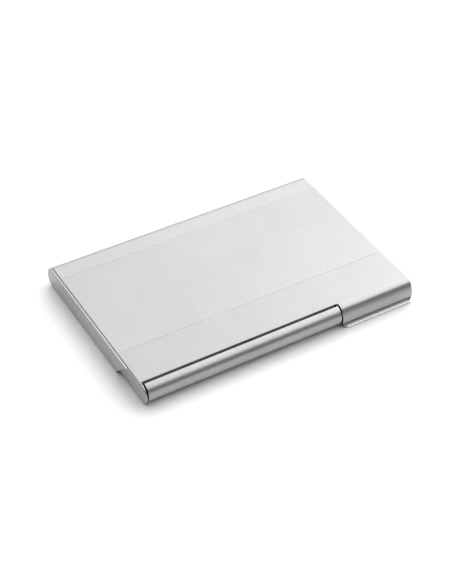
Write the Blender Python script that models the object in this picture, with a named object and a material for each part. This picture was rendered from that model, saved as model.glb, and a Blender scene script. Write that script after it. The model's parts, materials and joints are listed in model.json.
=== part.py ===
"""Slim clamshell business-card case in anodised aluminium, modelled closed.

Two sheet pieces of nearly the same width make the case, nested one sheet thickness out of line.
The lid is a flat plate folded down at both ends, rolled round the back edge, and wrapped round the
front edge over its right-hand quarter. The base tray is a flat plate with a flange folded up
outside the lid's left end and another inside its right end, a knuckle rolled along its back edge,
and a thumb lip under the lid's wrap. A half-round bar crimped on the base fills the rest of the
front edge. A steel rod in the knuckle carries the lid, and a leaf spring in the lid holds cards.

Units are metres, +Z up. The origin is under the middle of the closed case, on the surface it
stands on. +X runs along the case to the end that has the thumb lip, and +Y to the hinged edge.
"""

import math

import bmesh
import bpy
from mathutils import Vector

MM = 0.001

# Outside of the closed case
LID_LENGTH = 93.0  # end face to end face of the lid
DEPTH = 64.9  # front reference line to the back of the hinge round
THICKNESS = 7.0
ROUND = 3.5  # half-round edges, and the radius about the hinge axis

# Sheet and clearances
LID_SHEET = 0.85
END_WALL = 0.5
BASE_SHEET = 0.8
FLANGE_SHEET = 0.55
GAP = 0.3

# Hinge
AXIS_Y = DEPTH - ROUND
AXIS_Z = ROUND
ROD_RADIUS = 1.2
BORE_RADIUS = 1.5
KNUCKLE_RADIUS = 2.3
KNUCKLE_START = 2.0
BACK_ROUND_END = -25.0  # the lid's back round stops here, in degrees below the axis
NECK_ANGLE = 180.0 + 46.0  # where the neck reaches the knuckle, clear of the lid at full opening

# Front edge
NOTCH_END = 67.4  # the lid wraps the front from here to its right-hand end
NOTCH_DEPTH = 3.75
NOTCH_CORNER = 0.7
WRAP_SHOULDER = 2.95
# Radius of each arc of the wrap and the angle it ends at, from 90 degrees at the top, 0 facing front
WRAP_ARCS = ((2.1, 35.0), (6.5, 8.0), (8.0, None))
WRAP_BOTTOM = 1.4
END_ROUND_Y = 3.2
END_FRONT = -0.1
END_FOOT = 0.05
BAR_FRONT = 0.1
BAR_ROUND_Y = 3.1
BAR_START = 1.0
BAR_END = 66.95
BAR_TOP_REAR = 2.9
BAR_REAR = 3.5

# Thumb lip on the base, under the wrap
LIP_START = 68.5
LIP_END = 92.1
LIP_FRONT = -0.92
LIP_SHEET = 0.45
LIP_STEP_FRONT = 0.05
LIP_STEP_TOP = 1.1

# Side flanges of the base
FLANGE_FOOT_Y = 17.7  # the 45 degree front end starts here at the bottom
FLANGE_RADIUS = 3.45
TRAY_END = 91.6  # outer face of the flange inside the lid's right end
WASHER = 0.3

# Two fine scored lines along the lid
SCORE_Y = (17.6, 56.2)
SCORE_WIDTH = 0.32
SCORE_DEPTH = 0.16

# Card spring and catch
SPRING_SHEET = 0.3
SPRING_BOW = 1.5

X_MID = (LID_LENGTH - FLANGE_SHEET - GAP) / 2
Y_MID = (LIP_FRONT + DEPTH) / 2


def place(x, y, z):
    """A point given from the lid's left end face, the front reference line and the floor."""
    return Vector(((x - X_MID) * MM, (y - Y_MID) * MM, z * MM))


HINGE = place(X_MID, AXIS_Y, AXIS_Z)


def clear_scene():
    for obj in list(bpy.data.objects):
        bpy.data.objects.remove(obj, do_unlink=True)


def material(name, colour, roughness, metallic):
    made = bpy.data.materials.new(name)
    made.use_nodes = True
    shader = made.node_tree.nodes["Principled BSDF"]
    shader.inputs["Base Color"].default_value = (*colour, 1.0)
    shader.inputs["Roughness"].default_value = roughness
    shader.inputs["Metallic"].default_value = metallic
    return made


def new_object(name, mesh, parent=None, origin=None):
    """Links a mesh whose points are in world space, with the object's origin moved to origin."""
    obj = bpy.data.objects.new(name, mesh)
    bpy.context.scene.collection.objects.link(obj)
    if origin is not None:
        for vertex in mesh.vertices:
            vertex.co -= origin
        obj.location = origin
    if parent is not None:
        obj.parent = parent
        obj.location = (origin or Vector()) - parent.location
    return obj


def mesh_from(bm, name, sharp=35.0):
    bmesh.ops.recalc_face_normals(bm, faces=bm.faces)
    mesh = bpy.data.meshes.new(name)
    bm.to_mesh(mesh)
    bm.free()
    mesh.shade_smooth()
    mesh.set_sharp_from_angle(angle=math.radians(sharp))
    return mesh


def prism(name, outline, along, low, high):
    """Extrudes an outline. Along X it is (y, z) points, along Y (x, z), and along Z (x, y)."""
    bm = bmesh.new()

    def point(a, b, c):
        if along == "X":
            return place(c, a, b)
        if along == "Y":
            return place(a, c, b)
        return place(a, b, c)

    face = bm.faces.new([bm.verts.new(point(a, b, low)) for a, b in outline])
    made = bmesh.ops.extrude_face_region(bm, geom=[face])
    moved = [item for item in made["geom"] if isinstance(item, bmesh.types.BMVert)]
    shift = point(0, 0, high) - point(0, 0, low)
    bmesh.ops.translate(bm, verts=moved, vec=shift)
    return mesh_from(bm, name)


def tube(name, along, centre, inner, outer, low, high, steps=28):
    """A turned ring, or a plain cylinder where inner is 0."""
    bm = bmesh.new()
    axis = {"X": 0, "Z": 2}[along]

    def point(radius, angle, level):
        a = radius * math.cos(angle)
        b = radius * math.sin(angle)
        if axis == 0:
            return place(level, centre[0] + a, centre[1] + b)
        return place(centre[0] + a, centre[1] + b, level)

    angles = [2 * math.pi * i / steps for i in range(steps)]
    rims = [
        [bm.verts.new(point(radius, angle, level)) for angle in angles]
        for radius, level in ((outer, low), (outer, high), (inner, high), (inner, low))
        if radius
    ]
    for first, second in zip(rims, rims[1:] + (rims[:1] if inner else [])):
        for i in range(steps):
            j = (i + 1) % steps
            bm.faces.new((first[i], first[j], second[j], second[i]))
    if not inner:
        bm.faces.new(rims[0])
        bm.faces.new(rims[1])
    return mesh_from(bm, name)


def helper(name, mesh):
    obj = new_object(name, mesh)
    obj.hide_render = True
    obj.display_type = "WIRE"
    return obj


def combine(obj, other, operation):
    step = obj.modifiers.new(other.name, "BOOLEAN")
    step.operation = operation
    step.solver = "EXACT"
    step.object = other


def arc(centre, radii, start, end, steps):
    """Points on an ellipse, angles in degrees from +Y towards +Z."""
    points = []
    for i in range(steps + 1):
        angle = math.radians(start + (end - start) * i / steps)
        points.append(
            (
                centre[0] + radii[0] * math.cos(angle),
                centre[1] + radii[1] * math.sin(angle),
            )
        )
    return points


def scored_top(y_from, y_to, level):
    """The top line of the lid with its two scored lines, from y_from up to y_to."""
    points = [(y_from, level)]
    for y in SCORE_Y:
        points += [
            (y - SCORE_WIDTH / 2, level),
            (y, level - SCORE_DEPTH),
            (y + SCORE_WIDTH / 2, level),
        ]
    return points + [(y_to, level)]


def wrap_section(inset, steps):
    """The front wrap from the flat top down to its lower edge: a tight roll, then a leaning face."""
    points = []
    y, z, start = WRAP_SHOULDER, THICKNESS, 90.0
    for radius, end in WRAP_ARCS:
        angle = math.radians(start)
        centre = (y + radius * math.cos(angle), z - radius * math.sin(angle))
        r = radius - inset
        if end is None:
            end = math.degrees(math.asin((WRAP_BOTTOM - centre[1]) / r))
        for i in range(1 if points else 0, steps + 1):
            angle = math.radians(start + (end - start) * i / steps)
            points.append((centre[0] - r * math.cos(angle), centre[1] + r * math.sin(angle)))
        angle = math.radians(end)
        y, z = centre[0] - radius * math.cos(angle), centre[1] + radius * math.sin(angle)
        start = end
    return points


def lid_profile():
    """The lid's section through the wrap: up the front, over the top and round the back."""
    outer = wrap_section(0, 6)[::-1]
    outer += scored_top(WRAP_SHOULDER + 0.8, AXIS_Y, THICKNESS)[1:-1]
    outer += arc((AXIS_Y, AXIS_Z), (ROUND, ROUND), 90, BACK_ROUND_END, 14)
    inside = ROUND - LID_SHEET
    inner = arc((AXIS_Y, AXIS_Z), (inside, inside), BACK_ROUND_END, 90, 14)
    inner += wrap_section(LID_SHEET, 6)
    return outer + inner


def end_wall_outline(side):
    """A folded-down end of the lid, round at both edges. Over the base plate it is cut shorter."""
    join = [(NOTCH_DEPTH + 0.6, THICKNESS), (NOTCH_DEPTH + 0.6, THICKNESS - 0.4)]
    if side == "right":
        front = wrap_section(0, 6)[::-1]
        y, z = front[0]
        points = arc((y + 1.0, z), (1.0, z - END_FOOT), 270, 180, 6)[:-1] + front + join
        buried = ROUND - 0.4
        points += arc((AXIS_Y, AXIS_Z), (buried, buried), 90, BACK_ROUND_END + 4, 12)
        for i in range(9):
            angle = BACK_ROUND_END + (-90 - BACK_ROUND_END) * i / 8
            r = ROUND - END_FOOT * i / 8
            points += arc((AXIS_Y, AXIS_Z), (r, r), angle, angle, 1)[:1]
        return points
    radius_y = END_ROUND_Y - END_FRONT
    points = arc((END_ROUND_Y, ROUND), (radius_y, ROUND - END_FOOT), 270, 180, 12)
    points += arc((END_ROUND_Y, ROUND), (radius_y, ROUND), 180, 90, 12)[1:] + join
    middle = ROUND - 0.4
    points += arc((AXIS_Y, AXIS_Z), (middle, middle), 90, BACK_ROUND_END + 3, 10)
    near = AXIS_Z - BASE_SHEET - GAP
    points += arc((AXIS_Y, AXIS_Z), (near, near), BACK_ROUND_END, -90, 8)
    points += [
        (FLANGE_FOOT_Y - 0.4, AXIS_Z - near),
        (FLANGE_FOOT_Y - 0.4, END_FOOT),
    ]
    return points


def lid_shell(mat):
    top = new_object(
        "lid_shell", prism("lid_shell", lid_profile(), "X", 0, LID_LENGTH)
    )
    r = NOTCH_CORNER
    corner = [
        (
            NOTCH_END - r + r * math.cos(math.radians(t)),
            NOTCH_DEPTH - r + r * math.sin(math.radians(t)),
        )
        for t in (0, 22.5, 45, 67.5, 90)
    ]
    notch = [(-2, -3), (NOTCH_END, -3), *corner, (-2, NOTCH_DEPTH)]
    combine(top, helper("cut_notch", prism("cut_notch", notch, "Z", -1, 9)), "DIFFERENCE")
    for side, low in (("left", 0.0), ("right", LID_LENGTH - END_WALL)):
        wall = end_wall_outline(side)
        name = "join_end_" + side
        combine(
            top, helper(name, prism(name, wall, "X", low, low + END_WALL)), "UNION"
        )
    bore = tube(
        "cut_lid_bore",
        "X",
        (AXIS_Y, AXIS_Z),
        0,
        BORE_RADIUS,
        -2,
        LID_LENGTH + 2,
    )
    combine(top, helper("cut_lid_bore", bore), "DIFFERENCE")
    top.data.materials.append(mat)
    return top


def base_tray(mat):
    left = FLANGE_SHEET + GAP
    inset = END_WALL + GAP
    rear = AXIS_Y - (ROUND - BASE_SHEET) + 0.1
    plate = [
        (inset, 9.0),
        (TRAY_END, 9.0),
        (TRAY_END, rear),
        (-left, rear),
        (-left, FLANGE_FOOT_Y),
        (inset, FLANGE_FOOT_Y),
    ]
    tray = new_object("base_tray", prism("base_tray", plate, "Z", 0, BASE_SHEET))

    # Joggled front edge, crimped in the bar's slot
    s = BASE_SHEET
    joggle = [
        (9.6, 0),
        (7.4, 0),
        (6.2, 0.95),
        (2.7, 0.95),
        (2.7, 0.95 + s),
        (6.55, 0.95 + s),
        (7.75, s),
        (9.6, s),
    ]
    joggle_mesh = prism("join_joggle", joggle, "X", 1.6, BAR_END - 0.2)
    combine(tray, helper("join_joggle", joggle_mesh), "UNION")

    # Flat front edge with the thumb lip
    lip = [
        (9.6, 0),
        (-0.4, 0),
        (-0.4, LIP_SHEET),
        (LIP_STEP_FRONT, LIP_SHEET),
        (LIP_STEP_FRONT, LIP_STEP_TOP),
        (1.1, LIP_STEP_TOP),
        (1.4, s),
        (9.6, s),
    ]
    lip_mesh = prism("join_front", lip, "X", LIP_START - 0.7, TRAY_END)
    combine(tray, helper("join_front", lip_mesh), "UNION")
    tab = [
        (0.1, 0),
        (LIP_FRONT + 0.15, 0),
        (LIP_FRONT, 0.12),
        (LIP_FRONT, 0.24),
        (LIP_FRONT + 0.06, 0.3),
        (-0.3, LIP_SHEET + 0.17),
        (0.1, LIP_SHEET + 0.17),
    ]
    tab_mesh = prism("join_lip", tab, "X", LIP_START, LIP_END)
    combine(tray, helper("join_lip", tab_mesh), "UNION")
    for side, end, inward in (("left", LIP_START, 1), ("right", LIP_END, -1)):
        corner = [
            (end - 0.2 * inward, LIP_FRONT - 0.2),
            (end + 0.45 * inward, LIP_FRONT - 0.2),
            (end, LIP_FRONT + 0.35),
            (end - 0.2 * inward, LIP_FRONT + 0.35),
        ]
        name = "cut_lip_" + side
        combine(tray, helper(name, prism(name, corner, "Z", -1, 2)), "DIFFERENCE")

    # Left flange, outside the lid: rounded at the back and cut at 45 degrees in front
    top = AXIS_Z + FLANGE_RADIUS
    flange = [(FLANGE_FOOT_Y, 0), (FLANGE_FOOT_Y - top, top)]
    flange += arc((AXIS_Y, AXIS_Z), (FLANGE_RADIUS, FLANGE_RADIUS), 90, -90, 20)
    flange += [(rear, 0)]
    flange_mesh = prism("join_flange_left", flange, "X", -left, -left + FLANGE_SHEET)
    combine(tray, helper("join_flange_left", flange_mesh), "UNION")

    # Right flange, inside the lid, with its back end round the rod
    inner_top = THICKNESS - LID_SHEET - GAP
    low_back = (rear - 0.4, 0.1)
    inner = [(9.6, 0.1), (9.6, inner_top - 1.0), (10.6, inner_top)]
    inner += [(AXIS_Y - 3.2, inner_top)]
    inner += arc((AXIS_Y, AXIS_Z), (KNUCKLE_RADIUS, KNUCKLE_RADIUS), 78, NECK_ANGLE - 360, 24)
    inner += [(rear, BASE_SHEET - 0.1), low_back]
    inner_mesh = prism("join_flange_right", inner, "X", TRAY_END - FLANGE_SHEET, TRAY_END)
    combine(tray, helper("join_flange_right", inner_mesh), "UNION")

    # Rolled knuckle along the back edge
    k = KNUCKLE_RADIUS
    knuckle = [(rear - 2.2, 0.1), (rear, 0.1), (rear, s)]
    knuckle += arc((AXIS_Y, AXIS_Z), (k, k), NECK_ANGLE - 360, 190, 30)
    knuckle += [(rear - 0.9, s), (rear - 2.2, s - 0.1)]
    knuckle_mesh = prism(
        "join_knuckle", knuckle, "X", KNUCKLE_START, TRAY_END - FLANGE_SHEET / 2
    )
    combine(tray, helper("join_knuckle", knuckle_mesh), "UNION")
    bore = tube(
        "cut_knuckle_bore",
        "X",
        (AXIS_Y, AXIS_Z),
        0,
        BORE_RADIUS,
        KNUCKLE_START - 1,
        TRAY_END + 1,
    )
    combine(tray, helper("cut_knuckle_bore", bore), "DIFFERENCE")
    tray.data.materials.append(mat)
    return tray


def front_bar(mat):
    """Half-round bar, stepped so that the lid's edge lies on it, slotted for the base plate."""
    radius_y = BAR_ROUND_Y - BAR_FRONT
    low, high = 0.05, THICKNESS - 0.05
    half = (high - low) / 2
    step = math.degrees(math.acos((BAR_ROUND_Y - BAR_TOP_REAR) / radius_y))
    outline = arc((BAR_ROUND_Y, low + half), (radius_y, half), 180 - step, 180 + 84, 26)
    lid_under = THICKNESS - LID_SHEET - GAP
    slot_low, slot_high = 0.95 - GAP, 0.95 + BASE_SHEET + GAP
    outline += [
        (4.6, low),
        (5.0, low + 0.15),
        (5.0, slot_low),
        (2.4, slot_low),
        (2.4, slot_high),
        (BAR_REAR, slot_high),
        (BAR_REAR, lid_under - 0.25),
        (BAR_REAR - 0.25, lid_under),
        (BAR_TOP_REAR, lid_under),
    ]
    bar = new_object("front_bar", prism("front_bar", outline, "X", BAR_START, BAR_END))
    bar.data.materials.append(mat)
    return bar


def card_spring(mat):
    """Bowed leaf, a tab at each end under the lid, one tab slotted to let the bow move."""
    top = THICKNESS - LID_SHEET - GAP
    x0, x1, tab = 20.0, 73.0, 6.0
    steps = 22
    upper = [(x0, top)]
    for i in range(steps + 1):
        share = i / steps
        x = x0 + tab + (x1 - x0 - 2 * tab) * share
        upper.append((x, top - SPRING_BOW * math.sin(math.pi * share) ** 2))
    upper.append((x1, top))
    lower = [(x, z - SPRING_SHEET) for x, z in reversed(upper)]
    spring = new_object(
        "card_spring", prism("card_spring", upper + lower, "Y", 29.0, 37.0)
    )
    hole = tube("cut_spring_left", "Z", (23.0, 33.0), 0, 0.95, 3, 8, 20)
    combine(spring, helper("cut_spring_left", hole), "DIFFERENCE")
    slot = []
    for t in range(-90, 91, 18):
        slot.append((70.6 + 0.95 * math.cos(math.radians(t)), 33.0 + 0.95 * math.sin(math.radians(t))))
    for t in range(90, 271, 18):
        slot.append((69.4 + 0.95 * math.cos(math.radians(t)), 33.0 + 0.95 * math.sin(math.radians(t))))
    combine(
        spring, helper("cut_spring_right", prism("cut_spring_right", slot, "Z", 3, 8)), "DIFFERENCE"
    )
    spring.data.materials.append(mat)
    return spring


def stud(name, x, y, shank_from, shank_to, head_to, mat):
    """A turned stud: a shank and a domed, peened head, from the surface it is welded to."""
    bm = bmesh.new()
    steps = 20
    sign = 1 if head_to > shank_to else -1
    rise = abs(head_to - shank_to)
    profile = [(0.65, shank_from), (0.65, shank_to), (1.5, shank_to), (1.5, shank_to + sign * rise * 0.35)]
    profile += [(1.15, shank_to + sign * rise * 0.8), (0.6, head_to)]
    rings = []
    for radius, z in profile:
        rings.append(
            [
                bm.verts.new(
                    place(
                        x + radius * math.cos(2 * math.pi * i / steps),
                        y + radius * math.sin(2 * math.pi * i / steps),
                        z,
                    )
                )
                for i in range(steps)
            ]
        )
    for first, second in zip(rings, rings[1:]):
        for i in range(steps):
            j = (i + 1) % steps
            bm.faces.new((first[i], first[j], second[j], second[i]))
    bm.faces.new(rings[0])
    bm.faces.new(rings[-1])
    made = new_object(name, mesh_from(bm, name))
    made.data.materials.append(mat)
    return made


def catch_spring(mat):
    """Small leaf behind the wrap: a foot on the base, and an upright with a rounded nose."""
    t = SPRING_SHEET
    foot = BASE_SHEET + GAP
    outer = [(12.0, foot), (4.2, foot), (3.0, foot + 0.5), (2.7, foot + 1.4), (2.0, foot + 2.1)]
    outer += [(1.7, foot + 2.6), (2.0, foot + 3.1), (2.8, foot + 3.4)]
    inner = []
    for i, (y, z) in enumerate(outer):
        before = outer[max(i - 1, 0)]
        after = outer[min(i + 1, len(outer) - 1)]
        dy, dz = after[0] - before[0], after[1] - before[1]
        size = math.hypot(dy, dz)
        inner.append((y + t * dz / size, z - t * dy / size))
    spring = new_object(
        "catch_spring", prism("catch_spring", outer + inner[::-1], "X", 76.0, 84.0)
    )
    hole = tube("cut_catch", "Z", (80.0, 8.6), 0, 0.95, 0.5, 3, 20)
    combine(spring, helper("cut_catch", hole), "DIFFERENCE")
    spring.data.materials.append(mat)
    return spring


def main():
    clear_scene()
    anodised = material("anodised_aluminium", (0.72, 0.72, 0.73), 0.38, 1.0)
    steel = material("spring_steel", (0.56, 0.56, 0.58), 0.25, 1.0)
    rod_steel = material("rod_steel", (0.62, 0.62, 0.63), 0.2, 1.0)
    nylon = material("nylon", (0.8, 0.8, 0.78), 0.5, 0.0)

    base = bpy.data.objects.new("base_body", None)
    lid = bpy.data.objects.new("lid_body", None)
    for holder in (base, lid):
        bpy.context.scene.collection.objects.link(holder)
    lid.location = HINGE

    top = THICKNESS - LID_SHEET - GAP
    under = top - SPRING_SHEET - GAP
    on_lid = [
        lid_shell(anodised),
        card_spring(steel),
        stud("card_spring_stud_left", 23.0, 33.0, top, under, under - 0.55, steel),
        stud("card_spring_stud_right", 70.0, 33.0, top, under, under - 0.55, steel),
    ]
    for piece in on_lid:
        piece.parent = lid
        for vertex in piece.data.vertices:
            vertex.co -= HINGE
        for step in piece.modifiers:
            step.object.parent = lid
            for vertex in step.object.data.vertices:
                vertex.co -= HINGE

    foot = BASE_SHEET + GAP
    above = foot + SPRING_SHEET + GAP
    on_base = [
        base_tray(anodised),
        front_bar(anodised),
        catch_spring(steel),
        stud("catch_stud", 80.0, 8.6, foot, above, above + 0.55, steel),
    ]
    rod = new_object(
        "hinge_rod",
        tube("hinge_rod", "X", (AXIS_Y, AXIS_Z), 0, ROD_RADIUS, 0.1, LID_LENGTH - 0.1),
    )
    rod.data.materials.append(rod_steel)
    on_base.append(rod)
    for side, low, thick in (
        ("left", END_WALL + GAP, KNUCKLE_START - END_WALL - 2 * GAP),
        ("right", TRAY_END + GAP, WASHER),
    ):
        name = "hinge_washer_" + side
        ring = tube(name, "X", (AXIS_Y, AXIS_Z), BORE_RADIUS, KNUCKLE_RADIUS, low, low + thick)
        washer = new_object(name, ring)
        washer.data.materials.append(nylon)
        on_base.append(washer)
    for piece in on_base:
        piece.parent = base


main()
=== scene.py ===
"""Looks for the slim aluminium card case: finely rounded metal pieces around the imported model."""

import json
import math

import bmesh
import bpy
from mathutils import Matrix, Vector

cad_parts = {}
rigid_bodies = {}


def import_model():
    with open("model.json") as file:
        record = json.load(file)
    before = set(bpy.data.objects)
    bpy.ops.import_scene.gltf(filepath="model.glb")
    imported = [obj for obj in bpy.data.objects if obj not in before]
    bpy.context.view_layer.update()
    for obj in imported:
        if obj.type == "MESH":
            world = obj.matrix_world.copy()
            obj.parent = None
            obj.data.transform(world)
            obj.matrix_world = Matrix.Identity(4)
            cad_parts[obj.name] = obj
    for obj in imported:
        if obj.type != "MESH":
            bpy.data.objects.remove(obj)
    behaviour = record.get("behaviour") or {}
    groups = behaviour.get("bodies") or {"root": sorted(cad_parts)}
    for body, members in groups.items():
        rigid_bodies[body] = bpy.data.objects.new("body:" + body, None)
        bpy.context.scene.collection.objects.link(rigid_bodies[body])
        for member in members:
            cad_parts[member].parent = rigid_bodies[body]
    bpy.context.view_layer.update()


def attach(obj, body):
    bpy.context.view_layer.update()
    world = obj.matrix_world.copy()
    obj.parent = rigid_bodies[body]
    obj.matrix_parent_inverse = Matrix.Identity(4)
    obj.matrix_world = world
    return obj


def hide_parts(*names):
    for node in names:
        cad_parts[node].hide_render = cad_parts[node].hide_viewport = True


for old in list(bpy.data.objects):
    bpy.data.objects.remove(old, do_unlink=True)

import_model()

MM = 0.001

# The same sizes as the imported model, in millimetres
LID_LENGTH, DEPTH, THICKNESS, ROUND = 93.0, 64.9, 7.0, 3.5
LID_SHEET, END_WALL, BASE_SHEET, FLANGE_SHEET, GAP = 0.85, 0.5, 0.8, 0.55, 0.3
AXIS_Y, AXIS_Z = DEPTH - ROUND, ROUND
ROD_RADIUS, BORE_RADIUS, KNUCKLE_RADIUS, KNUCKLE_START = 1.2, 1.5, 2.3, 2.0
BACK_ROUND_END, NECK_ANGLE = -25.0, 226.0
NOTCH_END, NOTCH_DEPTH, NOTCH_CORNER = 67.4, 3.75, 0.7
WRAP_SHOULDER, WRAP_BOTTOM = 2.95, 1.4
WRAP_ARCS = ((2.1, 35.0), (6.5, 8.0), (8.0, None))
END_ROUND_Y, END_FRONT, END_FOOT = 3.2, -0.1, 0.05
BAR_FRONT, BAR_ROUND_Y, BAR_START, BAR_END = 0.1, 3.1, 1.0, 66.95
BAR_TOP_REAR, BAR_REAR = 2.9, 3.5
LIP_START, LIP_END, LIP_FRONT, LIP_SHEET = 68.5, 92.1, -0.92, 0.45
LIP_STEP_FRONT, LIP_STEP_TOP = 0.05, 1.1
FLANGE_FOOT_Y, FLANGE_RADIUS, TRAY_END, WASHER = 17.7, 3.45, 91.6, 0.3
SCORE_Y, SCORE_WIDTH, SCORE_DEPTH = (17.6, 56.2), 0.32, 0.16
SPRING_SHEET, SPRING_BOW = 0.3, 1.5
X_MID = (LID_LENGTH - FLANGE_SHEET - GAP) / 2
Y_MID = (LIP_FRONT + DEPTH) / 2


def place(x, y, z):
    return Vector(((x - X_MID) * MM, (y - Y_MID) * MM, z * MM))


# ---------------------------------------------------------------- shapes


def arc(centre, radii, start, end, steps):
    points = []
    for i in range(steps + 1):
        angle = math.radians(start + (end - start) * i / steps)
        points.append(
            (
                centre[0] + radii[0] * math.cos(angle),
                centre[1] + radii[1] * math.sin(angle),
            )
        )
    return points


def prism(outline, along, low, high, cuts=1):
    """A closed extrusion of an outline, with evenly spaced rings along it."""
    bm = bmesh.new()

    def point(a, b, c):
        if along == "X":
            return place(c, a, b)
        if along == "Y":
            return place(a, c, b)
        return place(a, b, c)

    rings = [
        [bm.verts.new(point(a, b, low + (high - low) * k / cuts)) for a, b in outline]
        for k in range(cuts + 1)
    ]
    for first, second in zip(rings, rings[1:]):
        for i in range(len(outline)):
            j = (i + 1) % len(outline)
            bm.faces.new((first[i], first[j], second[j], second[i]))
    bm.faces.new(rings[0])
    bm.faces.new(rings[-1])
    bmesh.ops.recalc_face_normals(bm, faces=bm.faces)
    return bm


def ring(along, centre, inner, outer, low, high, steps=64):
    bm = bmesh.new()

    def point(radius, angle, level):
        a, b = radius * math.cos(angle), radius * math.sin(angle)
        if along == "X":
            return place(level, centre[0] + a, centre[1] + b)
        return place(centre[0] + a, centre[1] + b, level)

    angles = [2 * math.pi * i / steps for i in range(steps)]
    rims = [
        [bm.verts.new(point(radius, angle, level)) for angle in angles]
        for radius, level in ((outer, low), (outer, high), (inner, high), (inner, low))
        if radius
    ]
    for first, second in zip(rims, rims[1:] + (rims[:1] if inner else [])):
        for i in range(steps):
            j = (i + 1) % steps
            bm.faces.new((first[i], first[j], second[j], second[i]))
    if not inner:
        bm.faces.new(rims[0])
        bm.faces.new(rims[1])
    bmesh.ops.recalc_face_normals(bm, faces=bm.faces)
    return bm


def as_object(name, bm):
    mesh = bpy.data.meshes.new(name)
    bm.to_mesh(mesh)
    bm.free()
    obj = bpy.data.objects.new(name, mesh)
    bpy.context.scene.collection.objects.link(obj)
    return obj


def evaluated_copy(obj, name):
    """The object's mesh with its modifiers applied, as a new plain mesh."""
    graph = bpy.context.evaluated_depsgraph_get()
    graph.update()
    made = bpy.data.meshes.new_from_object(obj.evaluated_get(graph), depsgraph=graph)
    made.name = name
    return made


def sculpted(name, start, steps):
    """Joins and cuts the start shape, and tidies the result into large flat faces."""
    obj = as_object(name, start)
    helpers = []
    for operation, bm in steps:
        other = as_object(name + "_step", bm)
        helpers.append(other)
        mod = obj.modifiers.new("step", "BOOLEAN")
        mod.operation, mod.solver, mod.object = operation, "EXACT", other
    mesh = evaluated_copy(obj, name)
    old = obj.data
    obj.modifiers.clear()
    obj.data = mesh
    bpy.data.meshes.remove(old)
    for other in helpers:
        data = other.data
        bpy.data.objects.remove(other)
        bpy.data.meshes.remove(data)
    bm = bmesh.new()
    bm.from_mesh(mesh)
    bmesh.ops.remove_doubles(bm, verts=bm.verts, dist=2e-7)
    bmesh.ops.dissolve_degenerate(bm, edges=bm.edges, dist=2e-7)
    bmesh.ops.dissolve_limit(
        bm,
        angle_limit=math.radians(0.3),
        use_dissolve_boundaries=False,
        verts=bm.verts,
        edges=bm.edges,
    )
    bm.to_mesh(mesh)
    bm.free()
    return obj


def rounded(obj, widths, segments=3, least=32.0):
    """Rounds every sharp edge. widths(middle, normals) gives the width in millimetres for an edge."""
    mesh = obj.data
    bm = bmesh.new()
    bm.from_mesh(mesh)
    layer = bm.edges.layers.float.get("bevel_weight_edge") or bm.edges.layers.float.new(
        "bevel_weight_edge"
    )
    widest = 0.4
    for edge in bm.edges:
        if len(edge.link_faces) != 2:
            continue
        angle = math.degrees(edge.calc_face_angle(0))
        if angle < least:
            continue
        middle = (edge.verts[0].co + edge.verts[1].co) / 2
        at = (middle.x / MM + X_MID, middle.y / MM + Y_MID, middle.z / MM)
        edge[layer] = min(1.0, widths(at, [f.normal for f in edge.link_faces]) / widest)
    bm.to_mesh(mesh)
    bm.free()
    mod = obj.modifiers.new("rounding", "BEVEL")
    mod.limit_method = "WEIGHT"
    mod.width = widest * MM
    mod.segments = segments
    mod.profile = 0.5
    mod.use_clamp_overlap = False
    mod.harden_normals = True
    mod.miter_outer = "MITER_ARC"
    mod.material = 1
    mesh.shade_smooth()
    return obj


def finished(obj):
    """Applies the modifiers, so the piece holds its final mesh."""
    mesh = evaluated_copy(obj, obj.name)
    old = obj.data
    obj.modifiers.clear()
    obj.data = mesh
    bpy.data.meshes.remove(old)
    return obj


# ---------------------------------------------------------------- materials


def node(tree, kind, **values):
    made = tree.nodes.new(kind)
    for key, value in values.items():
        if key in made.inputs:
            made.inputs[key].default_value = value
        else:
            setattr(made, key, value)
    return made


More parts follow.
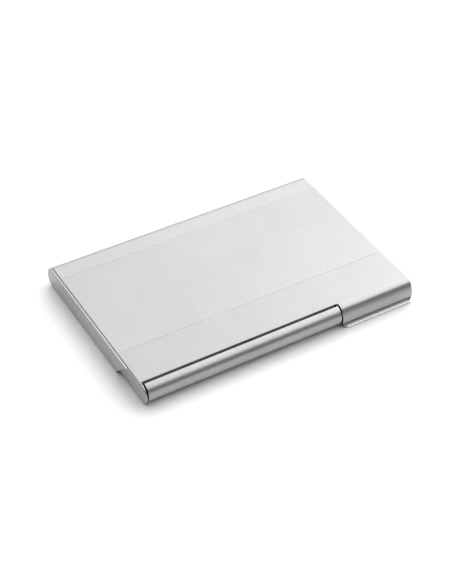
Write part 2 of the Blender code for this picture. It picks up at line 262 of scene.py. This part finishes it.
def metal(
    name,
    light,
    dark,
    rough_low,
    rough_high,
    grain=5200.0,
    grain_bump=0.06,
    lines=None,
    lines_bump=0.0,
    wave=0.0,
    panels=False,
):
    """Metal whose colour, roughness and fine relief come from noise laid in the object's own space."""
    made = bpy.data.materials.new(name)
    made.use_nodes = True
    tree = made.node_tree
    shader = tree.nodes["Principled BSDF"]
    shader.inputs["Metallic"].default_value = 1.0
    coords = node(tree, "ShaderNodeTexCoord")
    link = tree.links.new

    cloud = node(tree, "ShaderNodeTexNoise", Scale=55.0, Detail=3.0, Roughness=0.55)
    link(coords.outputs["Object"], cloud.inputs["Vector"])
    fine = node(tree, "ShaderNodeTexNoise", Scale=grain, Detail=2.0, Roughness=0.6)
    link(coords.outputs["Object"], fine.inputs["Vector"])

    mottle = node(tree, "ShaderNodeTexNoise", Scale=MOTTLE, Detail=2.0, Roughness=0.5)
    link(coords.outputs["Object"], mottle.inputs["Vector"])

    def mixed(source, share, added=None):
        made = node(tree, "ShaderNodeMath", operation="MULTIPLY_ADD")
        made.inputs[1].default_value = share
        made.inputs[2].default_value = 0.0
        link(source, made.inputs[0])
        if added:
            link(added, made.inputs[2])
        return made

    blend = mixed(cloud.outputs["Fac"], 0.3)
    blend = mixed(mottle.outputs["Fac"], 0.45, blend.outputs[0])
    blend = mixed(fine.outputs["Fac"], 0.25, blend.outputs[0])

    colour = node(tree, "ShaderNodeValToRGB")
    colour.color_ramp.elements[0].position = 0.3
    colour.color_ramp.elements[0].color = (*dark, 1)
    colour.color_ramp.elements[1].position = 0.7
    colour.color_ramp.elements[1].color = (*light, 1)
    link(blend.outputs[0], colour.inputs["Fac"])
    if panels:
        # The strips outside the two scored lines are finished a shade apart from the middle
        split = node(tree, "ShaderNodeSeparateXYZ")
        link(coords.outputs["Object"], split.inputs[0])
        shade = None
        for y, sign, change in (
            (SCORE_Y[1], "GREATER_THAN", 0.034),
            (SCORE_Y[0], "LESS_THAN", -0.022),
        ):
            beyond = node(tree, "ShaderNodeMath", operation=sign)
            beyond.inputs[1].default_value = (y - Y_MID) * MM
            link(split.outputs["Y"], beyond.inputs[0])
            step = node(tree, "ShaderNodeMath", operation="MULTIPLY_ADD")
            step.inputs[1].default_value = change
            step.inputs[2].default_value = 1.0
            link(beyond.outputs[0], step.inputs[0])
            if shade:
                link(shade.outputs[0], step.inputs[2])
            shade = step
        tinted = node(tree, "ShaderNodeVectorMath", operation="SCALE")
        link(colour.outputs["Color"], tinted.inputs[0])
        link(shade.outputs[0], tinted.inputs["Scale"])
        link(tinted.outputs[0], shader.inputs["Base Color"])
    else:
        link(colour.outputs["Color"], shader.inputs["Base Color"])

    rough = node(tree, "ShaderNodeMapRange")
    rough.inputs["From Min"].default_value = 0.3
    rough.inputs["From Max"].default_value = 0.7
    rough.inputs["To Min"].default_value = rough_high
    rough.inputs["To Max"].default_value = rough_low
    link(blend.outputs[0], rough.inputs["Value"])
    link(rough.outputs["Result"], shader.inputs["Roughness"])

    bump = node(tree, "ShaderNodeBump", Strength=grain_bump, Distance=0.00003)
    link(fine.outputs["Fac"], bump.inputs["Height"])
    last = bump
    if lines:
        stretch = node(tree, "ShaderNodeMapping")
        stretch.inputs["Scale"].default_value = lines
        link(coords.outputs["Object"], stretch.inputs["Vector"])
        drawn = node(tree, "ShaderNodeTexNoise", Scale=1.0, Detail=2.0, Roughness=0.7)
        link(stretch.outputs["Vector"], drawn.inputs["Vector"])
        second = node(tree, "ShaderNodeBump", Strength=lines_bump, Distance=0.00003)
        link(drawn.outputs["Fac"], second.inputs["Height"])
        link(bump.outputs["Normal"], second.inputs["Normal"])
        last = second
    if wave:
        swell = node(tree, "ShaderNodeTexNoise", Scale=26.0, Detail=1.0, Roughness=0.4)
        link(coords.outputs["Object"], swell.inputs["Vector"])
        third = node(tree, "ShaderNodeBump", Strength=wave, Distance=0.0004)
        link(swell.outputs["Fac"], third.inputs["Height"])
        link(last.outputs["Normal"], third.inputs["Normal"])
        last = third
    link(last.outputs["Normal"], shader.inputs["Normal"])
    return made


def plastic(name, light, dark, roughness):
    made = bpy.data.materials.new(name)
    made.use_nodes = True
    tree = made.node_tree
    shader = tree.nodes["Principled BSDF"]
    shader.inputs["Subsurface Weight"].default_value = 0.1
    shader.inputs["Subsurface Radius"].default_value = (0.0004, 0.0004, 0.0004)
    shader.inputs["Roughness"].default_value = roughness
    coords = node(tree, "ShaderNodeTexCoord")
    cloud = node(tree, "ShaderNodeTexNoise", Scale=900.0, Detail=3.0)
    tree.links.new(coords.outputs["Object"], cloud.inputs["Vector"])
    colour = node(tree, "ShaderNodeValToRGB")
    colour.color_ramp.elements[0].color = (*dark, 1)
    colour.color_ramp.elements[1].color = (*light, 1)
    tree.links.new(cloud.outputs["Fac"], colour.inputs["Fac"])
    tree.links.new(colour.outputs["Color"], shader.inputs["Base Color"])
    return made


MOTTLE = 1250.0
panelled = metal(
    "anodised_panels",
    (0.528, 0.528, 0.528),
    (0.477, 0.477, 0.477),
    0.33,
    0.38,
    grain_bump=0.10,
    panels=True,
)
anodised = metal(
    "anodised_aluminium",
    (0.545, 0.545, 0.545),
    (0.455, 0.455, 0.455),
    0.34,
    0.40,
    grain=5200.0,
    grain_bump=0.10,
)
drawn_aluminium = metal(
    "anodised_extrusion",
    (0.555, 0.555, 0.555),
    (0.450, 0.450, 0.450),
    0.32,
    0.38,
    grain=5200.0,
    grain_bump=0.06,
    lines=(60.0, 5200.0, 5200.0),
    lines_bump=0.10,
)
cut_edge = metal(
    "worn_aluminium_edge",
    (0.530, 0.530, 0.530),
    (0.490, 0.490, 0.490),
    0.30,
    0.36,
    grain=7000.0,
    grain_bump=0.04,
)
spring_steel = metal(
    "rolled_spring_steel",
    (0.57, 0.57, 0.58),
    (0.53, 0.53, 0.54),
    0.24,
    0.29,
    grain=4000.0,
    grain_bump=0.015,
    lines=(60.0, 3500.0, 3500.0),
    lines_bump=0.06,
)
steel_edge = metal(
    "sheared_steel_edge", (0.68, 0.68, 0.69), (0.58, 0.58, 0.59), 0.22, 0.34
)
rod_steel = metal(
    "drawn_rod_steel",
    (0.66, 0.66, 0.67),
    (0.58, 0.58, 0.59),
    0.16,
    0.26,
    grain=4000.0,
    grain_bump=0.03,
    lines=(40.0, 6000.0, 6000.0),
    lines_bump=0.2,
)
nylon = plastic("natural_nylon", (0.80, 0.79, 0.75), (0.74, 0.73, 0.69), 0.45)


def adopt(obj, body, cad_node, slot, *mats):
    for mat in mats:
        obj.data.materials.append(mat)
    finished(obj)
    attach(obj, body)
    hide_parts(cad_node)
    return obj


# ---------------------------------------------------------------- lid


def wrap_section(inset, steps):
    """The front wrap from the flat top down to its lower edge: a tight roll, then a leaning face."""
    points = []
    y, z, start = WRAP_SHOULDER, THICKNESS, 90.0
    for radius, end in WRAP_ARCS:
        angle = math.radians(start)
        centre = (y + radius * math.cos(angle), z - radius * math.sin(angle))
        r = radius - inset
        if end is None:
            end = math.degrees(math.asin((WRAP_BOTTOM - centre[1]) / r))
        for i in range(1 if points else 0, steps + 1):
            angle = math.radians(start + (end - start) * i / steps)
            points.append(
                (centre[0] - r * math.cos(angle), centre[1] + r * math.sin(angle))
            )
        angle = math.radians(end)
        y = centre[0] - radius * math.cos(angle)
        z = centre[1] + radius * math.sin(angle)
        start = end
    return points


def lid_profile():
    outer = wrap_section(0, 20)[::-1]
    outer += arc((AXIS_Y, AXIS_Z), (ROUND, ROUND), 90, BACK_ROUND_END, 52)
    inside = ROUND - LID_SHEET
    inner = arc((AXIS_Y, AXIS_Z), (inside, inside), BACK_ROUND_END, 90, 40)
    inner += wrap_section(LID_SHEET, 20)
    return outer + inner


def end_wall_outline(side):
    join = [(NOTCH_DEPTH + 0.6, THICKNESS), (NOTCH_DEPTH + 0.6, THICKNESS - 0.4)]
    if side == "right":
        front = wrap_section(0, 20)[::-1]
        y, z = front[0]
        points = arc((y + 1.0, z), (1.0, z - END_FOOT), 270, 180, 20)[:-1]
        points += front + join
        buried = ROUND - 0.4
        points += arc((AXIS_Y, AXIS_Z), (buried, buried), 90, BACK_ROUND_END + 4, 48)
        for i in range(33):
            angle = BACK_ROUND_END + (-90 - BACK_ROUND_END) * i / 32
            r = ROUND - END_FOOT * i / 32
            points += arc((AXIS_Y, AXIS_Z), (r, r), angle, angle, 1)[:1]
        return points
    radius_y = END_ROUND_Y - END_FRONT
    points = arc((END_ROUND_Y, ROUND), (radius_y, ROUND - END_FOOT), 270, 180, 36)
    points += arc((END_ROUND_Y, ROUND), (radius_y, ROUND), 180, 90, 36)[1:] + join
    middle = ROUND - 0.4
    points += arc((AXIS_Y, AXIS_Z), (middle, middle), 90, BACK_ROUND_END + 3, 40)
    near = AXIS_Z - BASE_SHEET - GAP
    points += arc((AXIS_Y, AXIS_Z), (near, near), BACK_ROUND_END, -90, 24)
    points += [
        (FLANGE_FOOT_Y - 0.4, AXIS_Z - near),
        (FLANGE_FOOT_Y - 0.4, END_FOOT),
    ]
    return points


def build_lid():
    r = NOTCH_CORNER
    corner = [
        (
            NOTCH_END - r + r * math.cos(math.radians(t)),
            NOTCH_DEPTH - r + r * math.sin(math.radians(t)),
        )
        for t in range(0, 91, 9)
    ]
    notch = [(-2, -3), (NOTCH_END, -3), *corner, (-2, NOTCH_DEPTH)]
    grooves = []
    for y in SCORE_Y:
        half = SCORE_WIDTH / 2 - 0.02
        vee = [
            (y - half, THICKNESS + 0.02),
            (y, THICKNESS - 0.10),
            (y + half, THICKNESS + 0.02),
        ]
        grooves.append(("DIFFERENCE", prism(vee, "X", 0.45, LID_LENGTH - 0.45)))
    steps = [
        ("DIFFERENCE", prism(notch, "Z", -1, 9)),
        ("UNION", prism(end_wall_outline("left"), "X", 0.0, END_WALL)),
        (
            "UNION",
            prism(end_wall_outline("right"), "X", LID_LENGTH - END_WALL, LID_LENGTH),
        ),
        (
            "DIFFERENCE",
            ring("X", (AXIS_Y, AXIS_Z), 0, BORE_RADIUS, -2, LID_LENGTH + 2, 72),
        ),
        *grooves,
    ]
    lid = sculpted("lid_cover", prism(lid_profile(), "X", 0, LID_LENGTH), steps)

    def widths(at, normals):
        x, y, z = at
        if x < 0.02 or x > LID_LENGTH - 0.02:
            return 0.27
        if min(abs(y - s) for s in SCORE_Y) < SCORE_WIDTH and z > THICKNESS - 0.3:
            return 0.04
        return 0.08

    rounded(lid, widths, segments=4)
    return adopt(lid, "lid", "lid_shell", "anodised_aluminium", panelled, cut_edge)


def build_spring():
    top = THICKNESS - LID_SHEET - GAP
    x0, x1, tab = 20.0, 73.0, 6.0
    steps = 96
    upper = [(x0, top)]
    for i in range(steps + 1):
        share = i / steps
        x = x0 + tab + (x1 - x0 - 2 * tab) * share
        upper.append((x, top - SPRING_BOW * math.sin(math.pi * share) ** 2))
    upper.append((x1, top))
    lower = [(x, z - SPRING_SHEET) for x, z in reversed(upper)]
    slot = []
    for t in range(-90, 91, 9):
        slot.append(
            (
                70.6 + 0.95 * math.cos(math.radians(t)),
                33.0 + 0.95 * math.sin(math.radians(t)),
            )
        )
    for t in range(90, 271, 9):
        slot.append(
            (
                69.4 + 0.95 * math.cos(math.radians(t)),
                33.0 + 0.95 * math.sin(math.radians(t)),
            )
        )
    ends = []
    for side in (0, 1):
        for front in (0, 1):
            cx = x0 + 1.6 if side == 0 else x1 - 1.6
            cy = 29.0 + 1.6 if front == 0 else 37.0 - 1.6
            sx, sy = (-1 if side == 0 else 1), (-1 if front == 0 else 1)
            points = [
                (
                    cx + sx * 1.6 * math.sin(math.radians(t)),
                    cy + sy * 1.6 * math.cos(math.radians(t)),
                )
                for t in range(0, 91, 10)
            ]
            points += [(cx + sx * 3, cy), (cx + sx * 3, cy + sy * 3), (cx, cy + sy * 3)]
            ends.append(("DIFFERENCE", prism(points, "Z", 3, 8)))
    spring = sculpted(
        "leaf_spring",
        prism(upper + lower, "Y", 29.0, 37.0),
        [
            ("DIFFERENCE", ring("Z", (23.0, 33.0), 0, 0.95, 3, 8)),
            ("DIFFERENCE", prism(slot, "Z", 3, 8)),
            *ends,
        ],
    )
    rounded(spring, lambda at, normals: 0.06, segments=2)
    return adopt(
        spring, "lid", "card_spring", "spring_steel", spring_steel, steel_edge
    )


def build_stud(name, body, cad_node, x, y, shank_from, shank_to, head_to):
    """A turned stud with a domed head and a small dimple where it was peened."""
    sign = 1 if head_to > shank_to else -1
    rise = abs(head_to - shank_to)
    profile = [
        (0.0, shank_from),
        (0.6, shank_from),
        (0.65, shank_from + sign * 0.05),
        (0.65, shank_to),
        (1.45, shank_to),
        (1.5, shank_to + sign * 0.05),
        (1.5, shank_to + sign * rise * 0.3),
    ]
    for t in range(8, 78, 7):
        angle = math.radians(t)
        profile.append(
            (
                0.5 + 1.0 * math.cos(angle),
                shank_to + sign * rise * (0.3 + 0.7 * math.sin(angle)),
            )
        )
    profile += [
        (0.6, head_to),
        (0.42, head_to - sign * 0.02),
        (0.22, head_to - sign * 0.09),
        (0.0, head_to - sign * 0.11),
    ]
    bm = bmesh.new()
    count = 56
    rings = []
    for radius, z in profile:
        if radius == 0.0:
            rings.append([bm.verts.new(place(x, y, z))])
            continue
        rings.append(
            [
                bm.verts.new(
                    place(
                        x + radius * math.cos(2 * math.pi * i / count),
                        y + radius * math.sin(2 * math.pi * i / count),
                        z,
                    )
                )
                for i in range(count)
            ]
        )
    for first, second in zip(rings, rings[1:]):
        for i in range(count):
            j = (i + 1) % count
            corners = [first[i % len(first)], first[j % len(first)]]
            corners += [second[j % len(second)], second[i % len(second)]]
            unique = list(dict.fromkeys(corners))
            bm.faces.new(unique)
    bmesh.ops.recalc_face_normals(bm, faces=bm.faces)
    made = as_object(name, bm)
    made.data.shade_smooth()
    made.data.set_sharp_from_angle(angle=math.radians(50))
    return adopt(made, body, cad_node, "spring_steel", steel_edge)


# ---------------------------------------------------------------- base


def build_tray():
    left = FLANGE_SHEET + GAP
    inset = END_WALL + GAP
    rear = AXIS_Y - (ROUND - BASE_SHEET) + 0.1
    s = BASE_SHEET
    plate = [
        (inset, 9.0),
        (TRAY_END, 9.0),
        (TRAY_END, rear),
        (-left, rear),
        (-left, FLANGE_FOOT_Y),
        (inset, FLANGE_FOOT_Y),
    ]
    joggle = [
        (9.6, 0),
        (7.4, 0),
        (6.2, 0.95),
        (2.7, 0.95),
        (2.7, 0.95 + s),
        (6.55, 0.95 + s),
        (7.75, s),
        (9.6, s),
    ]
    lip = [
        (9.6, 0),
        (-0.4, 0),
        (-0.4, LIP_SHEET),
        (LIP_STEP_FRONT, LIP_SHEET),
        (LIP_STEP_FRONT, LIP_STEP_TOP),
        (1.1, LIP_STEP_TOP),
        (1.4, s),
        (9.6, s),
    ]
    nose = LIP_FRONT + 0.15
    tab = [(0.1, 0), (nose, 0)]
    tab += arc((nose, 0.14), (0.15, 0.13), 250, 128, 16)
    tab += [(-0.36, LIP_SHEET + 0.13), (-0.3, LIP_SHEET + 0.16)]
    tab += [(-0.22, LIP_SHEET + 0.17), (0.1, LIP_SHEET + 0.17)]
    corners = []
    for end, inward in ((LIP_START, 1), (LIP_END, -1)):
        corners.append(
            [
                (end - 0.2 * inward, LIP_FRONT - 0.2),
                (end + 0.45 * inward, LIP_FRONT - 0.2),
                (end, LIP_FRONT + 0.35),
                (end - 0.2 * inward, LIP_FRONT + 0.35),
            ]
        )
    top = AXIS_Z + FLANGE_RADIUS
    flange = [(FLANGE_FOOT_Y, 0), (FLANGE_FOOT_Y - top, top)]
    flange += arc((AXIS_Y, AXIS_Z), (FLANGE_RADIUS, FLANGE_RADIUS), 90, -90, 72)
    flange += [(rear, 0)]
    inner_top = THICKNESS - LID_SHEET - GAP
    inner = [(9.6, 0.1), (9.6, inner_top - 1.0), (10.6, inner_top)]
    inner += [(AXIS_Y - 3.2, inner_top)]
    inner += arc(
        (AXIS_Y, AXIS_Z), (KNUCKLE_RADIUS, KNUCKLE_RADIUS), 78, NECK_ANGLE - 360, 64
    )
    inner += [(rear, s - 0.1), (rear - 0.4, 0.1)]
    k = KNUCKLE_RADIUS
    knuckle = [(rear - 2.2, 0.1), (rear, 0.1), (rear, s)]
    knuckle += arc((AXIS_Y, AXIS_Z), (k, k), NECK_ANGLE - 360, 190, 80)
    knuckle += [(rear - 0.9, s), (rear - 2.2, s - 0.1)]
    steps = [
        ("UNION", prism(joggle, "X", 1.6, BAR_END - 0.2)),
        ("UNION", prism(lip, "X", LIP_START - 0.7, TRAY_END)),
        ("UNION", prism(tab, "X", LIP_START, LIP_END)),
        *[("DIFFERENCE", prism(corner, "Z", -1, 2)) for corner in corners],
        ("UNION", prism(flange, "X", -left, -0.12)),
        ("UNION", prism(inner, "X", TRAY_END - FLANGE_SHEET, TRAY_END)),
        ("UNION", prism(knuckle, "X", KNUCKLE_START, TRAY_END - FLANGE_SHEET / 2)),
        (
            "DIFFERENCE",
            ring(
                "X",
                (AXIS_Y, AXIS_Z),
                0,
                BORE_RADIUS,
                KNUCKLE_START - 1,
                TRAY_END + 1,
                72,
            ),
        ),
    ]
    tray = sculpted("tray", prism(plate, "Z", 0, s), steps)

    def widths(at, normals):
        x, y, z = at
        if x < -left + 0.02:
            return 0.25
        # Where the flange runs into the knuckle the two rounds meet, and the corner stays sharp
        if x > TRAY_END - FLANGE_SHEET - 0.2 and y > AXIS_Y - 5.2:
            return 0.0
        return 0.07

    rounded(tray, widths, segments=4)
    return adopt(tray, "base", "base_tray", "anodised_aluminium", anodised, cut_edge)


def build_bar():
    radius_y = BAR_ROUND_Y - BAR_FRONT
    low, high = 0.05, THICKNESS - 0.05
    half = (high - low) / 2
    step = math.degrees(math.acos((BAR_ROUND_Y - BAR_TOP_REAR) / radius_y))
    outline = arc((BAR_ROUND_Y, low + half), (radius_y, half), 180 - step, 180 + 84, 96)
    lid_under = THICKNESS - LID_SHEET - GAP
    slot_low, slot_high = 0.95 - GAP, 0.95 + BASE_SHEET + GAP
    outline += [
        (4.6, low),
        (5.0, low + 0.15),
        (5.0, slot_low),
        (2.4, slot_low),
        (2.4, slot_high),
        (BAR_REAR, slot_high),
        (BAR_REAR, lid_under - 0.25),
        (BAR_REAR - 0.25, lid_under),
        (BAR_TOP_REAR, lid_under),
    ]
    bar = as_object("bar", prism(outline, "X", BAR_START, BAR_END))
    rounded(bar, lambda at, normals: 0.12, segments=4)
    return adopt(
        bar, "base", "front_bar", "anodised_aluminium", drawn_aluminium, cut_edge
    )


def build_catch():
    t = SPRING_SHEET
    foot = BASE_SHEET + GAP
    rough = [
        (12.0, foot),
        (4.2, foot),
        (3.0, foot + 0.5),
        (2.7, foot + 1.4),
        (2.0, foot + 2.1),
        (1.7, foot + 2.6),
        (2.0, foot + 3.1),
        (2.8, foot + 3.4),
    ]
    outer = list(rough)
    inner = []
    for i, (y, z) in enumerate(outer):
        before = outer[max(i - 1, 0)]
        after = outer[min(i + 1, len(outer) - 1)]
        dy, dz = after[0] - before[0], after[1] - before[1]
        size = math.hypot(dy, dz)
        inner.append((y + t * dz / size, z - t * dy / size))
    catch = sculpted(
        "catch_leaf",
        prism(outer + inner[::-1], "X", 76.0, 84.0),
        [("DIFFERENCE", ring("Z", (80.0, 8.6), 0, 0.95, 0.5, 3))],
    )
    rounded(catch, lambda at, normals: 0.06, segments=2, least=50)
    return adopt(
        catch, "base", "catch_spring", "spring_steel", spring_steel, steel_edge
    )


def build_rod():
    r = ROD_RADIUS
    low, high = 0.1, LID_LENGTH - 0.1
    profile = [(0.0, low), (r - 0.25, low), (r - 0.07, low + 0.06), (r, low + 0.25)]
    profile += [(r, high - 0.25), (r - 0.07, high - 0.06), (r - 0.25, high)]
    profile += [(0.3, high), (0.18, high - 0.06), (0.0, high - 0.08)]
    bm = bmesh.new()
    count = 64
    rings = []
    for radius, x in profile:
        if radius == 0.0:
            rings.append([bm.verts.new(place(x, AXIS_Y, AXIS_Z))])
            continue
        rings.append(
            [
                bm.verts.new(
                    place(
                        x,
                        AXIS_Y + radius * math.cos(2 * math.pi * i / count),
                        AXIS_Z + radius * math.sin(2 * math.pi * i / count),
                    )
                )
                for i in range(count)
            ]
        )
    for first, second in zip(rings, rings[1:]):
        for i in range(count):
            j = (i + 1) % count
            corners = [first[i % len(first)], first[j % len(first)]]
            corners += [second[j % len(second)], second[i % len(second)]]
            bm.faces.new(list(dict.fromkeys(corners)))
    bmesh.ops.recalc_face_normals(bm, faces=bm.faces)
    rod = as_object("rod", bm)
    rod.data.shade_smooth()
    rod.data.set_sharp_from_angle(angle=math.radians(50))
    return adopt(rod, "base", "hinge_rod", "rod_steel", rod_steel)


def build_washer(side, low, thick):
    bm = ring(
        "X", (AXIS_Y, AXIS_Z), BORE_RADIUS, KNUCKLE_RADIUS, low, low + thick, 64
    )
    washer = as_object("washer_" + side, bm)
    rounded(washer, lambda at, normals: min(0.1, thick / 4), segments=3)
    return adopt(washer, "base", "hinge_washer_" + side, "nylon", nylon, nylon)


# ---------------------------------------------------------------- camera, light and floor


def build_camera():
    """The view from the front left, from above."""
    f_px = 1433.48895
    turn = Vector((2.2244483, -0.6001891, 0.269073))
    matrix = Matrix.Rotation(turn.length, 3, turn.normalized())
    offset = Vector((-22.734934, 33.262394, 410.393902))
    centre = -(matrix.transposed() @ offset)
    camera = bpy.data.cameras.new("camera")
    camera.sensor_width = 36.0
    camera.sensor_fit = "AUTO"
    camera.lens = f_px * 36.0 / 584.0
    camera.clip_start, camera.clip_end = 0.01, 20.0
    obj = bpy.data.objects.new("camera", camera)
    bpy.context.scene.collection.objects.link(obj)
    right, down, ahead = matrix[0], matrix[1], matrix[2]
    spot = place(*centre)
    obj.matrix_world = Matrix(
        (
            (right[0], -down[0], -ahead[0], spot[0]),
            (right[1], -down[1], -ahead[1], spot[1]),
            (right[2], -down[2], -ahead[2], spot[2]),
            (0, 0, 0, 1),
        )
    )
    bpy.context.scene.camera = obj
    return obj


def area(name, location, target, size, size_y, power):
    data = bpy.data.lights.new(name, "AREA")
    data.shape = "RECTANGLE"
    data.size, data.size_y, data.energy = size, size_y, power
    obj = bpy.data.objects.new(name, data)
    bpy.context.scene.collection.objects.link(obj)
    obj.location = location
    obj.rotation_euler = (
        (Vector(target) - Vector(location)).to_track_quat("-Z", "Y").to_euler()
    )
    return obj


def build_stage():
    mesh = bpy.data.meshes.new("floor")
    bm = bmesh.new()
    bmesh.ops.create_grid(bm, x_segments=2, y_segments=2, size=3.0)
    bm.to_mesh(mesh)
    bm.free()
    floor = bpy.data.objects.new("floor", mesh)
    floor.location = (0, 0, -0.00002)
    bpy.context.scene.collection.objects.link(floor)
    mat = bpy.data.materials.new("white_floor")
    mat.use_nodes = True
    shader = mat.node_tree.nodes["Principled BSDF"]
    shader.inputs["Base Color"].default_value = (FLOOR_WHITE, FLOOR_WHITE, FLOOR_WHITE, 1)
    shader.inputs["Metallic"].default_value = FLOOR_SHEEN
    shader.inputs["Roughness"].default_value = FLOOR_ROUGH
    shader.inputs["Specular IOR Level"].default_value = 0.1
    mesh.materials.append(mat)

    # Studio: a wide soft ceiling leaning to the back and right, a dim front, a soft key from the right
    world = bpy.data.worlds.new("studio")
    bpy.context.scene.world = world
    world.use_nodes = True
    tree = world.node_tree
    link = tree.links.new
    background = tree.nodes["Background"]
    coords = node(tree, "ShaderNodeTexCoord")

    def ramp(source, low, high, value_low, value_high):
        made = node(tree, "ShaderNodeMapRange", interpolation_type="SMOOTHSTEP")
        made.inputs["From Min"].default_value = low
        made.inputs["From Max"].default_value = high
        made.inputs["To Min"].default_value = value_low
        made.inputs["To Max"].default_value = value_high
        link(source, made.inputs["Value"])
        return made.outputs["Result"]

    def times(first, second):
        made = node(tree, "ShaderNodeMath", operation="MULTIPLY")
        link(first, made.inputs[0])
        link(second, made.inputs[1])
        return made.outputs[0]

    split = node(tree, "ShaderNodeSeparateXYZ")
    link(coords.outputs["Generated"], split.inputs[0])
    dot = node(tree, "ShaderNodeVectorMath", operation="DOT_PRODUCT")
    dot.inputs[1].default_value = Vector(CEILING_AIM).normalized()
    link(coords.outputs["Generated"], dot.inputs[0])
    ceiling = ramp(dot.outputs["Value"], *CEILING)
    horizon = ramp(split.outputs["Z"], *HORIZON)
    side = ramp(split.outputs["X"], *SIDE)
    link(times(times(ceiling, horizon), side), background.inputs["Strength"])
    background.inputs["Color"].default_value = (1, 1, 1, 1)

    area("key", KEY_PLACE, (0, 0, 0), KEY_SIZE, KEY_SIZE, KEY_POWER)
    scene = bpy.context.scene
    scene.view_settings.view_transform = "Standard"
    scene.view_settings.look = "None"
    scene.view_settings.exposure = 0.0
    scene.view_settings.gamma = VIEW_GAMMA


# Each gives: from, to, value at from, value at to
CEILING_AIM = (0.30, 0.42, 0.86)
CEILING = (0.10, 0.54, 0.42, 1.77)
HORIZON = (0.0, 0.50, 0.52, 1.0)
SIDE = (-0.10, 0.70, 0.66, 1.06)
KEY_PLACE = (0.85, 0.25, 0.45)
KEY_SIZE = 0.7
KEY_POWER = 2.0
VIEW_GAMMA = 0.78
FLOOR_SHEEN = 0.28
FLOOR_WHITE = 0.93
FLOOR_ROUGH = 0.5

build_camera()
build_stage()
build_lid()
build_spring()
under_lid = THICKNESS - LID_SHEET - GAP
under_spring = under_lid - SPRING_SHEET - GAP
build_stud(
    "spring_stud_left",
    "lid",
    "card_spring_stud_left",
    23.0,
    33.0,
    under_lid,
    under_spring,
    under_spring - 0.55,
)
build_stud(
    "spring_stud_right",
    "lid",
    "card_spring_stud_right",
    70.0,
    33.0,
    under_lid,
    under_spring,
    under_spring - 0.55,
)
build_tray()
build_bar()
build_catch()
foot_level = BASE_SHEET + GAP
over_foot = foot_level + SPRING_SHEET + GAP
build_stud(
    "catch_pin", "base", "catch_stud", 80.0, 8.6, foot_level, over_foot, over_foot + 0.55
)
build_rod()
build_washer("left", END_WALL + GAP, KNUCKLE_START - END_WALL - 2 * GAP)
build_washer("right", TRAY_END + GAP, WASHER)
